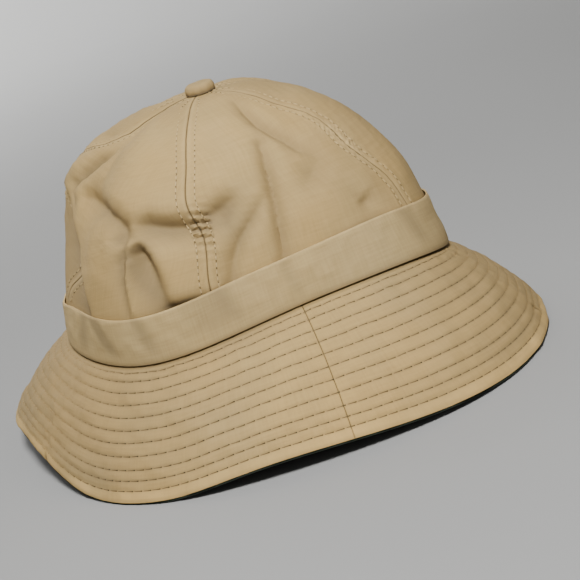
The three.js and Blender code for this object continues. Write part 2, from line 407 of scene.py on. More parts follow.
crownCloth = clothMaterial("crownCloth", khakiLook)
bandPaintedLightCloth = clothMaterial("bandPaintedLightCloth", bandPaintedLightLook)
brimCloth = clothMaterial("brimCloth", brimLook)
underCloth = clothMaterial("underCloth", underLook)
brimThread = threadMaterial("brimThread", brimThreadLook)
crownThread = threadMaterial("crownThread", crownThreadLook)
print("materials made")

# crown

crown = {
    "rows": 132,  # grid rows from the brim seam to the top
    "middleColumns": 56,
    "topRise": 0.992,
    "puff": 1.0,  # mm that a panel swells between its seams
    "ditchDepth": 0.3,
    "padHeight": 0.12,  # the doubled cloth beside a seam
    "rowOffset": 4.3,  # mm from seam to topstitch row
    "creaseSize": 26.0,
    "creaseHeight": 0.3,
    "foldRadius": 95.0,  # mm, turns degrees into a length along the wall
    "foldSharpness": 1.35,
    "shade": (0.25, 0.65),  # how much painted shade the two sides get, and over how many degrees
    "panelShade": ((0, 0), (0, 0), (0, 0.12), (0, 0), (-0.15, 0.22), (0, 0)),  # painted shade at the foot and top of each panel; a value below nought paints light
    "shadeWidth": 50,
}
nearColumns = np.array([  # mm from a seam
    0, 0.2, 0.45, 0.9, 1.7, 2.6, 3.5, 4.1, 4.4, 4.6, 4.8, 5.1, 5.6, 6.3, 7.4, 9.0,
])
seamRises = (0.0, 0.15, 0.28, 0.41, 0.55, 0.70, 0.85, 1.0)
seamCourses = (  # degrees at each of those rises, a row for each seam
    (5, 5, 4, 6, 7, 5, 4, 5),
    (62, 62, 63, 61, 60, 62, 64, 63),
    (105, 111, 116, 91, 84, 107, 114, 109),
    (178, 179, 181, 177.5, 179, 179.5, 180, 178),
    (251, 251.5, 251.5, 248, 250.5, 245, 246, 248),
    (308, 308, 307, 309, 310, 308, 307, 308),
)
crownFolds = (  # each line is (angle, rise, depth in mm) along the fold, then the width of its two sides; a gain scales some folds' painted shade
    {"line": ((118, 0.67, 0.8), (109.5, 0.6, 5.4), (104, 0.524, 6.4), (101, 0.468, 5.2), (101.5, 0.438, 3.8),
              (105, 0.418, 2.4), (110, 0.41, 0.4)),
     "left": 3.8, "right": 4.2, "paintedShadeGain": 1.6, "sharpness": 1.5},  # under the back shoulder
    {"line": ((92, 0.40, -1.6), (93, 0.46, -1.8), (96.5, 0.55, -1.4), (101, 0.61, -1.0), (109, 0.70, -0.3)),
     "left": 6, "right": 6},  # the shoulder itself
    {"line": ((108, 0.58, -2.4), (101, 0.50, -4.2), (96, 0.41, -2.8)), "left": 16, "right": 14},
    {"line": ((121, 0.74, -1.0), (121, 0.62, -2.6), (122, 0.52, -2.0)), "left": 14, "right": 14},
    {"line": ((102, 0.64, 1.0), (97, 0.72, 3.2), (92, 0.82, 1.5)), "left": 14, "right": 14},
    {"line": ((109, 0.455, 0.8), (111.5, 0.466, 3.8), (116, 0.482, 5.8), (128, 0.484, 6.2), (139, 0.472, 6.2),
              (149, 0.428, 6.2), (153, 0.394, 6.0), (154.8, 0.355, 4.2), (154, 0.32, 1.2)),
     "left": 4.8, "right": 7, "paintedShadeGain": 0.95},
    {"line": ((147, 0.352, 0.4), (151, 0.347, 2.0), (154, 0.335, 1.0)), "left": 4, "right": 4.5, "paintedShadeGain": 2},
    {"line": ((156.5, 0.365, -0.4), (155.5, 0.295, -2.8), (154.5, 0.225, -2.8), (154, 0.12, -1.6)),
     "left": 3.6, "right": 1.8},  # the thin ridge down to the band
    {"line": ((155, 0.34, 0.3), (153.6, 0.295, 1.4), (153, 0.25, 1.6), (152.5, 0.2, 1.6), (152.5, 0.12, 1.2)),
     "left": 1.4, "right": 2.4, "paintedShadeGain": 3},
    {"line": ((157, 0.391, 1.0), (163, 0.38, 6.8), (167, 0.363, 7.8), (171, 0.35, 8.2), (175, 0.34, 7.2),
              (179, 0.338, 4.4), (183, 0.346, 4.4), (188, 0.363, 4.8), (193, 0.379, 3.8), (198, 0.398, 0.6)),
     "left": 4.8, "right": 8.5, "sharpness": 1.6},  # across the front seam
    {"line": ((183.5, 0.318, 0.8), (189, 0.33, 3.0), (196, 0.36, 0.6)), "left": 9, "right": 9, "paintedShadeGain": 2.2},
    {"line": ((158.5, 0.33, 0.6), (159.5, 0.295, 6.5), (161, 0.265, 8.0), (162.5, 0.22, 6.8),
              (163.5, 0.175, 4.6), (164.5, 0.1, 2.4)),
     "left": 2.6, "right": 10.5, "paintedShadeGain": 1.9},  # the pocket left of the front seam
    {"line": ((157, 0.32, 0.4), (158, 0.29, 2.2), (159.5, 0.25, 2.0), (160.5, 0.2, 1.0), (161, 0.14, 0.3)),
     "left": 4, "right": 4, "paintedShadeGain": 3},
    {"line": ((163, 0.1, 1.0), (165.5, 0.098, 4.4), (169, 0.1, 3.8), (174, 0.104, 2.6), (178, 0.106, 1.4),
              (183, 0.11, 0.2)),
     "left": 3.4, "right": 6},  # tucked in behind the band
    {"line": ((94, 0.41, 2.0), (102, 0.365, 7.5), (117.5, 0.305, 8.5), (127, 0.22, 8.0),
              (131, 0.15, 7.0), (133, 0.08, 5.0)),
     "left": 3, "right": 20, "paintedShadeGain": 1.2},  # the back panel falls in behind this edge
    {"line": ((185, 0.1, 3.2), (189, 0.19, 4.6), (193, 0.244, 4.8), (198.5, 0.286, 4.4),
              (202.5, 0.32, 2.8), (206, 0.355, 0.6)),
     "left": 5, "right": 4.5},
    {"line": ((215.5, 0.575, 1.0), (215, 0.545, 4.0), (211.5, 0.44, 5.0), (209.5, 0.355, 5.4),
              (207.5, 0.265, 5.4), (206, 0.195, 4.8), (204, 0.1, 3.2)),
     "left": 5, "right": 4},
    {"line": ((225, 0.79, 1.5), (223, 0.72, 4.0), (222, 0.645, 5.0), (224, 0.585, 5.0), (227, 0.53, 5.0),
              (229, 0.47, 4.0), (234.5, 0.41, 1.0)),
     "left": 4, "right": 4.5},
    {"line": ((222, 0.42, 0.8), (226, 0.365, 3.2), (230, 0.31, 0.8)), "left": 10, "right": 10},
    {"line": ((236.5, 0.235, 1.0), (237.5, 0.215, 3.2), (236.5, 0.19, 1.0)), "left": 6, "right": 6},
    {"line": ((20, 0.45, 0.4), (34, 0.41, 6.0), (52, 0.36, 0.5)), "left": 7, "right": 5},
    {"line": ((346, 0.42, 0.4), (339, 0.3, 6.0), (330, 0.1, 4.0)), "left": 7, "right": 4},
    {"line": ((68, 0.36, 0.4), (75, 0.24, 6.0), (80, 0.1, 4.0)), "left": 4, "right": 8},
    {"line": ((300, 0.5, 0.3), (290, 0.42, 4.6), (282, 0.34, 0.3)), "left": 7, "right": 5},
    {"line": ((30, 0.7, 0.2), (27, 0.58, 3.6), (18, 0.5, 0.2)), "left": 5, "right": 6},
    {"line": ((290, 0.1, 3.6), (294, 0.2, 5.0), (301, 0.3, 0.3)), "left": 7, "right": 4},
)
wornSeam = {"angle": 249.5, "rise": 0.47, "across": 5.0, "along": 16.0, "amount": 1.5}  # sizes in mm
seamWrinkles = {"angle": 181, "rise": 0.322, "height": 1.2, "pitch": 4.0, "across": 4.4, "along": 10.0}
backSeam = {"angle": 108, "width": 16, "dark": 0.7}  # degrees, where this seam lies open, with painted shade along it
bandGapShadows = (  # degrees, where the crown stands off behind the band's top edge, with a painted shadow there
    {"angle": 170, "width": 7, "amount": 1.0},
    {"angle": 234, "width": 10, "amount": 0.6},
)


def turnFrom(angle, start):  # degrees from start, the short way round
    return np.mod(angle - start + 180, 360) - 180


def shaded(angle, amounts, width):  # painted shade on the two sides of the hat, none at its front and half as much at its back
    turn = turnFrom(angle, hat["leastShadedSide"])
    amount = np.where(turn < 0, amounts[0], amounts[1])
    return amount * (1 - bump(turn, width)) * (1 - 0.5 * smoothstep(np.abs(turn), 90, 150))


def seamAngle(index, rise):
    return smoothCurve(seamRises, seamCourses[index % 6], rise) + 360 * (index // 6)


def wallOffset(angle, rise, fromAngle, fromRise):  # mm sideways and up along the crown wall
    local = crown["foldRadius"] * np.cos(np.clip(rise, 0, 1) * np.pi / 2)
    turn = np.radians(turnFrom(angle, fromAngle))
    return turn * local, (rise - fromRise) * hat["crownArc"], local


def foldDepth(angle, rise, withPaintedShade=False):  # how far the cloth stands in from the smooth crown
    total = np.zeros(np.shape(angle))
    for fold in crownFolds:
        nearest = np.full(np.shape(angle), np.inf)
        depth = np.zeros(np.shape(angle))
        for (angleA, riseA, depthA), (angleB, riseB, depthB) in zip(fold["line"], fold["line"][1:]):
            awayX, awayY, local = wallOffset(angle, rise, angleA, riseA)
            runX = np.radians(angleB - angleA) * local
            runY = (riseB - riseA) * hat["crownArc"]
            run = np.hypot(runX, runY)
            share = np.clip((awayX * runX + awayY * runY) / run**2, 0, 1)
            sideX = awayX - runX * share
            sideY = awayY - runY * share
            onLeft = smoothstep((runX * sideY - runY * sideX) / run, -0.6, 0.6)
            width = fold["right"] + (fold["left"] - fold["right"]) * onLeft
            sharpness = fold.get("sharpness", crown["foldSharpness"])
            away = np.hypot(sideX, sideY)
            here = (depthA + (depthB - depthA) * share) * np.exp(-(away / width) ** sharpness)
            depth = np.where(away < nearest - 0.000001, here, depth)
            nearest = np.minimum(nearest, away)
        # for the painted shade, each fold's depth is scaled by its gain
        total += depth * (fold.get("paintedShadeGain", 1) if withPaintedShade else 1)
    return total * smoothstep(rise, 0.03, 0.11)


def wornAt(angle, rise, base):  # the frayed, paler stretch of the right seam
    awayX, awayY, _ = wallOffset(angle, rise, wornSeam["angle"], wornSeam["rise"])
    patchy = 0.7 + 0.6 * ripple(base, 3.5, 51)
    worn = wornSeam["amount"] * bump(awayX, wornSeam["across"]) * bump(awayY, wornSeam["along"])
    return worn * patchy


def wrinkleAt(angle, rise):  # short cross wrinkles where the front seam is crushed
    awayX, awayY, _ = wallOffset(angle, rise, seamWrinkles["angle"], seamWrinkles["rise"])
    wave = np.sin(2 * np.pi * (awayY + 0.25 * awayX) / seamWrinkles["pitch"])
    between = 1 - smoothstep(np.abs(awayX), seamWrinkles["across"], seamWrinkles["across"] + 2.5)
    return between * bump(awayY, seamWrinkles["along"]), wave


def crownHeight(angle, rise, fromSeam, acrossShare, base):  # all the relief on one panel
    free = smoothstep(rise, 0.15, 0.28) * (1 - smoothstep(rise, 0.8, 0.97))
    sewn = smoothstep(rise, 0.1, 0.14) * (1 - smoothstep(rise, 0.9, 0.97))
    height = crown["puff"] * np.sin(np.pi * acrossShare) ** 0.8 * free
    height = height - foldDepth(angle, rise)
    height += crown["creaseHeight"] * ripple(base, crown["creaseSize"], 3) * free
    height += 0.02 * ripple(base, 8, 5) * free
    height += crown["padHeight"] * (1 - smoothstep(fromSeam, 4.7, 6.4)) * sewn
    height -= crown["ditchDepth"] * bump(fromSeam, 0.3)
    height -= 0.15 * bump(fromSeam - crown["rowOffset"], 0.6) * sewn
    pucker = ripple(base, 6.5, 9) * bump(fromSeam - crown["rowOffset"], 3.0)
    pucker += 1.2 * wornAt(angle, rise, base) * ripple(base, 3.0, 53)
    area, wave = wrinkleAt(angle, rise)
    return height + 0.22 * pucker * sewn + seamWrinkles["height"] * area * wave


def panelGrid(index):
    rise = crown["topRise"] * np.linspace(0, 1, crown["rows"] + 1)
    start = seamAngle(index, rise)
    end = seamAngle(index + 1, rise)
    middle = crownBase((start + end) / 2, rise)
    radius = np.hypot(middle[:, 0], middle[:, 1])
    width = np.radians(end - start) * radius
    squeeze = np.minimum(1, width / 2 / 16)
    near = nearColumns[:, None] * squeeze
    inside = np.linspace(0, 1, crown["middleColumns"] + 2)[1:-1, None]
    span = near[-1] + (width - 2 * near[-1]) * inside
    across = np.concatenate([near, span, width - near[::-1]]) + 0.06
    across = np.clip(across, 0.06, width - 0.06)
    share = across / width
    angle = start + (end - start) * share
    rises = np.broadcast_to(rise, angle.shape)
    fromSeam = np.minimum(across, width - across)
    return angle, rises, fromSeam, share, across - width / 2


for index in range(6):
    angle, rise, fromSeam, share, sideways = panelGrid(index)
    base = crownBase(angle, rise)
    normal = normalOf(crownBase, angle, rise)
    height = crownHeight(angle, rise, fromSeam, share, base)
    outer = base + normal * height[..., None]
    inner = outer - normal * hat["crownWall"]
    # painted shade on the crown's sides and its top, and at the foot and top of some panels
    shade = shaded(angle, crown["shade"], crown["shadeWidth"]) * (1 - 0.6 * smoothstep(rise, 0.4, 0.6))
    shade += 0.2 * smoothstep(rise, 0.65, 0.85)
    low, high = crown["panelShade"][index]
    shade += low + (high - low) * smoothstep(rise, 0.35, 0.55)
    depth = foldDepth(angle, rise, withPaintedShade=True)
    aboveBand = (rise - riseAt(angle, hat["bandHeight"])) * hat["crownArc"]
    # painted shadow on the crown just above the band's top edge, deepest at these spots
    gap = sum(spot["amount"] * bump(angle - spot["angle"], spot["width"]) for spot in bandGapShadows)
    shade += (0.15 + 0.5 * gap) * bump(aboveBand, 2.2)
    area, wave = wrinkleAt(angle, rise)
    # painted shade in the wrinkles' troughs, and a little painted light on their crests
    shade += area * (0.3 - 0.35 * wave)
    worn = wornAt(angle, rise, base)
    opened = bump(turnFrom(angle, backSeam["angle"]), backSeam["width"]) * smoothstep(rise, 0.45, 0.55)
    soil = 0.75 * bump(fromSeam, 0.3) + 0.6 * worn * np.maximum(ripple(base, 2.0, 57), 0)
    # painted shadow at the crown's foot, in the gap under the band
    soil += 0.5 * (1 - smoothstep(rise * hat["crownArc"], 0.6, 2.5))
    # a painted dark line right behind the band's top edge
    soil += 0.5 * gap * bump(aboveBand, 0.9)
    # painted shade along the back seam where it lies open
    soil += backSeam["dark"] * opened * bump(fromSeam, 0.6)
    marks = {
        # painted shade in the folds and the seam ditches, added to the painted shade worked out above
        "fold": np.clip(depth / 7, 0, 1) + 0.3 * bump(fromSeam, 0.7) + shade,
        "edge": 0.5 * bump(fromSeam - 1.2, 1.0) + 0.8 * worn,
        "soil": soil,
    }
    uv = np.stack([sideways, rise * hat["crownArc"]], axis=-1)
    nodeName = f"crown_panel_{index + 1}"
    panel = clothWall(f"crownPanel{index + 1}", outer, inner, False, uv, marks, crownCloth)
    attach(panel, "root")
    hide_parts(nodeName)
print("crown panels made")

# stitches

stitchSteps = np.array([0, 0.06, 0.18, 0.5, 0.82, 0.94, 1.0])  # share of the way along one stitch
stitchLift = np.array([-0.6, 0.1, 0.35, 0.5, 0.35, 0.1, -0.6])


def stitchRow(path, normals, pitch, share, radius, girth):  # one row of thread along a path on the cloth
    steps = np.linalg.norm(np.diff(path, axis=0), axis=1)
    run = np.concatenate([[0], np.cumsum(steps)])
    count = max(1, int(run[-1] / pitch))
    starts = (np.arange(count) + (1 - share) / 2) * run[-1] / count
    at = (starts[:, None] + stitchSteps * share * run[-1] / count).ravel()
    centre = np.stack([np.interp(at, run, path[:, k]) for k in range(3)], 1)
    out = np.stack([np.interp(at, run, normals[:, k]) for k in range(3)], 1)
    ahead = np.stack([np.interp(at + 0.3, run, path[:, k]) for k in range(3)], 1)
    behind = np.stack([np.interp(at - 0.3, run, path[:, k]) for k in range(3)], 1)
    along = ahead - behind
    along /= np.linalg.norm(along, axis=1, keepdims=True)
    side = np.cross(along, out)
    side /= np.linalg.norm(side, axis=1, keepdims=True)
    girth = np.tile(girth, count)[:, None]
    lift = np.tile(stitchLift, count)[:, None]
    spokes = np.radians(np.arange(0, 360, 60))
    centre = centre + out * lift * radius
    rings = [centre + radius * girth * (side * np.cos(a) + out * 0.8 * np.sin(a)) for a in spokes]
    points = np.stack(rings, 1)
    uv = np.stack(np.broadcast_arrays(spokes[None, :] * radius, at[:, None]), -1)
    return points.reshape(count, len(stitchSteps), 6, 3), uv.reshape(count, len(stitchSteps), 6, 2)


def stitchPiece(name, rows, holeShadows, paintedPaleness, material):  # how pale the threads are painted, as painted light, is given for each angle round the hat
    points = np.concatenate([row[0] for row in rows])
    uv = np.concatenate([row[1] for row in rows])
    count, rings, spokes = points.shape[:3]
    ring, spoke = np.meshgrid(np.arange(rings - 1), np.arange(spokes), indexing="ij")
    ring, spoke = ring.ravel(), spoke.ravel()
    beside = (spoke + 1) % spokes
    quads = np.stack([ring * spokes + spoke, (ring + 1) * spokes + spoke,
                      (ring + 1) * spokes + beside, ring * spokes + beside], 1)
    caps = np.array([[0, 1, 2, 3], [0, 3, 4, 5]])
    last = (rings - 1) * spokes
    endCaps = last + caps[:, ::-1]
    one = np.concatenate([quads, caps, endCaps])
    faces = (one[None] + (np.arange(count) * rings * spokes)[:, None, None]).reshape(-1, 4)
    angle = np.degrees(np.arctan2(points[..., 1], points[..., 0])).ravel()
    marks = {"hole": np.tile(np.repeat(holeShadows, spokes), count), "worn": paintedPaleness(angle)}
    return newPiece(name, points.reshape(-1, 3), faces, uv.reshape(-1, 2), marks, material)


crownStitch = {"pitch": 3.2, "share": 0.94, "radius": 0.3, "girth": (0.7, 1.2, 0.9, 1.0, 0.9, 1.2, 0.7)}
crownHoleShadows = (1, 1, 0.1, 0, 0.1, 1, 1)  # painted shadow where the needle went in
rows = []
for index in range(6):
    rise = np.linspace(0.125, 0.955, 260)
    for side in (-1, 1):
        seam = seamAngle(index, rise)
        middle = crownBase(seam, rise)
        radius = np.hypot(middle[:, 0], middle[:, 1])
        offset = np.minimum(crown["rowOffset"], radius * 0.22)
        angle = seam + side * np.degrees(offset / radius)
        base = crownBase(angle, rise)
        normal = normalOf(crownBase, angle, rise)
        height = crownHeight(angle, rise, offset, np.full_like(rise, 0.05), base)
        rows.append(stitchRow(base + normal * height[:, None], normal, **crownStitch))
crownStitches = stitchPiece("crownStitches", rows, crownHoleShadows, np.zeros_like, crownThread)
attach(crownStitches, "root")
print("crown stitches made:", sum(len(row[0]) for row in rows))

# top button

button = {
    "radius": 7.9,
    "height": 4.7,
    "gathers": 9,
    "gatherDepth": 0.22,
    "squareness": 0.26,
    "shift": (0.4, -1.4, 0.0),
}
turn, lift = np.meshgrid(np.linspace(0, 360, 72, endpoint=False), np.linspace(0, 1, 26), indexing="ij")
swing = lift * np.pi / 2
waist = 1 - 0.04 * bump(lift, 0.18)
gather = 1 - button["gatherDepth"] * 0.1 * (1 + np.cos(np.radians(turn) * button["gathers"])) * (1 - lift)
radius = button["radius"] * np.maximum(np.cos(swing), 0) ** button["squareness"] * waist * gather
height = hat["crownTop"] + hat["clearance"] + button["height"] * np.sin(swing) ** 0.9
outer = polar(turn, radius, height) + np.array(button["shift"])
outer[..., 2] += 0.1 * ripple(outer, 5, 21)
foot = hat["crownTop"] + hat["clearance"]
innerRadius = np.maximum(radius - 1.0, 0) * 0.9
inner = polar(turn, innerRadius, foot + 0.78 * (height - foot)) + np.array(button["shift"])
uv = np.stack([np.radians(turn) * 6, lift * 10], axis=-1)
# the button is darker all over; the extra darkening and the dark line at its foot are painted shadow
marks = {"fold": 0.5 + bump(lift, 0.15), "edge": 0.3 * bump(lift - 0.75, 0.3), "soil": 0.3 * bump(lift, 0.1)}
topButton = clothWall("topButton", outer, inner, True, uv, marks, crownCloth)
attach(topButton, "root")
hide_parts("top_button")
print("top button made")

# hat band

band = {
    "around": 420,
    "rows": 18,
    "wall": 1.0,
    "foot": 0.5,  # mm that it stands over the brim seam
    "dip": 5.0,  # mm that its top edge sags at the back
    "dipAngle": 100,
    "dipWidth": 20,
    "lift": 4.8,  # mm that its top edge climbs at the far side
    "flare": 3.2,  # mm that its foot stands out there
    "flareEnd": 0.85,  # share of the way up where the flare ends
    "ease": 1.0,  # mm that its top edge stands clear of the crown there
    "easeFrom": 0.5,  # shares of the way up where that starts and is full
    "easeFull": 0.9,
    "footDrop": 0.9,  # share of the foot's height that is lost there
    "clothRadius": 96,  # mm, turns degrees into a length of cloth
    "liftAngle": 294,
    "liftWidth": 41,
    # painted shade on the band's two sides, and at its foot
    "shade": (0.18, 0.58),
    "footShade": 0.5,
    "shadeWidth": 62,
}
bandFolds = (  # angle at the foot, angle at the top, depth in mm, width in degrees
    (145, 137, 1.3, 3.0),
    (158, 154, 0.8, 2.0),
    (128, 131, 0.8, 3.0),
    (178, 176, 0.6, 8.0),
    (186, 181, 0.5, 3.0),
    (207, 203, 0.4, 2.0),
    (250, 247, 0.6, 3.0),
    (20, 26, 0.7, 3.0),
    (316, 310, 0.6, 3.0),
)


def bandHeightAt(angle, share):
    height = np.zeros_like(angle)
    for foot, top, depth, width in bandFolds:
        height -= depth * bump(angle - (foot + (top - foot) * share), width) * smoothstep(share, 0.0, 0.5)
    return height


bandShares = np.append(np.linspace(0, 0.95, band["rows"]), (0.965, 0.98, 0.99, 1.0))
angle, share = np.meshgrid(np.linspace(0, 360, band["around"], endpoint=False), bandShares, indexing="ij")
farSide = bump(turnFrom(angle, band["liftAngle"]), band["liftWidth"])
bandTop = hat["bandHeight"] - band["dip"] * bump(angle - band["dipAngle"], band["dipWidth"])
bandTop += band["lift"] * farSide
bandFoot = band["foot"] * (1 - band["footDrop"] * farSide)
rise = riseAt(angle, bandFoot + (bandTop - bandFoot) * share)
base = crownBase(angle, rise)
normal = normalOf(crownBase, angle, rise)
relief = bandHeightAt(angle, share) * 0.4 + 0.25 * ripple(base, 18, 13) * smoothstep(share, 0, 0.4)
relief += 0.15 * ripple(base, 7, 17) * smoothstep(share, 0.55, 1)
relief = np.maximum(relief, -0.2)
rounding = 0.2 * (smoothstep(share, 0.96, 1.0) + 1 - smoothstep(share, 0, 0.04))
standOff = hat["clearance"] + band["flare"] * farSide * (1 - smoothstep(share, 0, band["flareEnd"]))
standOff += band["ease"] * farSide * smoothstep(share, band["easeFrom"], band["easeFull"])
outer = base + normal * (standOff + band["wall"] + relief - rounding)[..., None]
inner = base + normal * (standOff + np.maximum(relief, 0) * 0.5)[..., None]
uv = np.stack([np.radians(angle) * band["clothRadius"], share * hat["bandHeight"]], axis=-1)
# painted shade in the band's folds, on its sides and at its foot; the soil line at its foot is painted shadow
bandShade = np.clip(-bandHeightAt(angle, share), 0, 1) * 0.85
bandShade += shaded(angle, band["shade"], band["shadeWidth"])
bandShade += band["footShade"] * bump(share, 0.09)
marks = {
    "fold": bandShade,
    # a pale line on the band's folded top edge: a painted highlight
    "edge": bump(share - 0.99, 0.025),
    "soil": 0.2 * bump(share, 0.03),
}
hatBand = clothWall("hatBand", outer, inner, True, uv, marks, bandPaintedLightCloth)
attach(hatBand, "root")
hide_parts("hat_band")
print("hat band made")

# brim

brim = {
    "tuck": 3.0,  # mm that runs in under the crown
    "bend": 3.0,
    "bow": 2.4,
    "edge": 1.4,  # mm that the rim stands over the under ply
    "rows": (  # stitch rows, share of the way out
        0.1, 0.17, 0.257, 0.345, 0.435, 0.525, 0.61, 0.7, 0.79, 0.86, 0.925,
    ),
    "slant": 1.4,  # length of the sloping cloth over its reach
    "clothRadius": 120,  # mm, turns degrees into a length of cloth
    "clothReach": 68,  # mm from the crown to the rim
    "spotRadius": 135,  # the same two sizes near the rim, for the spots
    "spotReach": 62,
    "rowDepth": 0.2,
    "quilt": 0.16,
    "step": 0.75,  # degrees
    "settle": 3.0,  # mm over which the rim rounds off onto the floor
    "settleLow": 1.0,
    # painted shade on the brim's two sides
    "shade": (0.78, 0.82),
    "shadeWidth": 45,
    "seamLean": 2.4,  # degrees that the seams turn on the way out
    # painted shadow of the band on the brim's inner strip
    "bandShadow": {"angle": 182, "width": 17, "amount": 0.45},
}
brimStitch = {"pitch": 5.0, "share": 0.88, "radius": 0.2, "girth": (0.5, 0.8, 0.9, 1.0, 1.2, 1.6, 0.8)}
brimHoleShadows = (0.1, 0, 0, 0.1, 0.5, 1, 1)  # painted shadow where the thread sinks in at one end
brimSpots = (  # a nick in the rim and a pinch of loose threads, dark with painted shade in their dents
    {"angle": 128, "out": 0.985, "across": 0.9, "along": 2.6, "lean": 20, "depth": 0.8, "dark": 0.9},
    {"angle": 259.3, "out": 0.87, "across": 0.8, "along": 3.2, "lean": 29, "depth": 0.9, "dark": 0.9},
    {"angle": 260.6, "out": 0.825, "across": 0.9, "along": 2.2, "lean": 29, "depth": -0.8, "dark": 0.0},
)
rowsPaintedPale = (  # degrees over which the rows of thread are painted pale and dull, and come back
    (152, 124, 100, 80),
    (246, 264, 284, 304),
)


def rimGround(angle):  # height of the rim's lower edge, softened where it meets the floor
    lift = around("rimLift", angle)
    return 0.5 * (lift + np.sqrt(lift * lift + brim["settle"] ** 2)) - brim["settleLow"]


def brimBase(angle, out):  # the brim's upper face, out 0 under the crown wall and 1 at the rim
    reach = around("brimReach", angle)

    def bend(x):
        return 0.5 * (x + np.sqrt(x * x + brim["bend"] ** 2))

    past = (reach + brim["tuck"]) * out - brim["tuck"]
    drop = (bend(past) - bend(-brim["tuck"])) / (bend(reach) - bend(-brim["tuck"]))
    innerHeight = around("seamHeight", angle) - hat["clearance"]
    rim = rimGround(angle) + brim["edge"]
    bow = 4 * brim["bow"] * drop * (1 - drop)
    radius = around("crownRadius", angle) + past + bow
    return polar(angle, radius, innerHeight + (rim - innerHeight) * drop + bow)


def brimInward(angle, inward):
    return brimBase(angle, 1 - inward)


def brimNormal(angle, out):
    return normalOf(brimInward, angle, 1 - out)


def rowGap(out):  # how far off the nearest stitch row is, as a share of the way out
    return np.abs(out[..., None] - np.array(brim["rows"])).min(-1)


# how pale the brim's rows are painted, as painted light, at each angle
def paintedPaleRows(angle):
    total = np.zeros(np.shape(angle))
    for start, full, back, end in rowsPaintedPale:
        way = np.sign(full - start)
        turn = np.mod(angle, 360) * way
        total += smoothstep(turn, start * way, full * way) * (1 - smoothstep(turn, back * way, end * way))
    return total


# painted shade in the dents of the nick and the pinch
def brimSpotShade(angle, out):
    total = np.zeros(np.shape(angle))
    for spot in brimSpots:
        awayX, awayY = brimOffset(angle, out, spot)
        total += spot["dark"] * bump(awayX, spot["across"]) * bump(awayY, spot["along"])
    return total


def brimOffset(angle, out, spot):  # mm round and out from a spot on the brim, along its own lean
    awayX = np.radians(turnFrom(angle, spot["angle"])) * brim["spotRadius"]
    awayY = (out - spot["out"]) * brim["spotReach"]
    lean = math.radians(spot["lean"])
    return awayX * math.cos(lean) - awayY * math.sin(lean), awayX * math.sin(lean) + awayY * math.cos(lean)


def brimHeight(angle, out, fromSeam, base):
    width = around("brimReach", angle) * brim["slant"]
    away = rowGap(out) * width  # mm to the nearest row
    sewn = smoothstep(out, 0.06, 0.1) * (1 - smoothstep(out, 0.95, 0.985))
    height = brim["quilt"] * smoothstep(away, 0.4, 2.6) * sewn
    height -= brim["rowDepth"] * bump(away, 0.55)
    pucker = 0.14 + 0.16 * (1 - smoothstep(out, 0.1, 0.3))  # mm, most beside the band
    height += pucker * ripple(base, 6.0, 31) * bump(away, 2.4) * sewn
    height += 0.5 * ripple(base, 34, 33) * smoothstep(out, 0.1, 0.3)
    height += 0.22 * ripple(base, 12, 35) * sewn
    height -= 0.22 * bump(fromSeam, 0.22)
    for spot in brimSpots:
        awayX, awayY = brimOffset(angle, out, spot)
        height -= spot["depth"] * bump(awayX, spot["across"]) * bump(awayY, spot["along"])
    return height + 0.1 * bump(fromSeam - 2.5, 2.0)


def outGrid():  # rows close together at the stitching, wider between
    rows = np.array(brim["rows"])
    places = [0.0, 0.03, 0.055]
    for row in rows:
        places += [row - 0.022, row - 0.012, row - 0.006, row, row + 0.006, row + 0.012, row + 0.022]
    gaps = (rows[1:] + rows[:-1]) / 2
    places += list(gaps) + [0.97, 0.985, 0.995, 1.0]
    return np.array(sorted(places))


outs = outGrid()
seamColumns = np.array([0, 0.15, 0.35, 0.65, 1.1, 1.7]) / 330  # close columns beside a brim seam


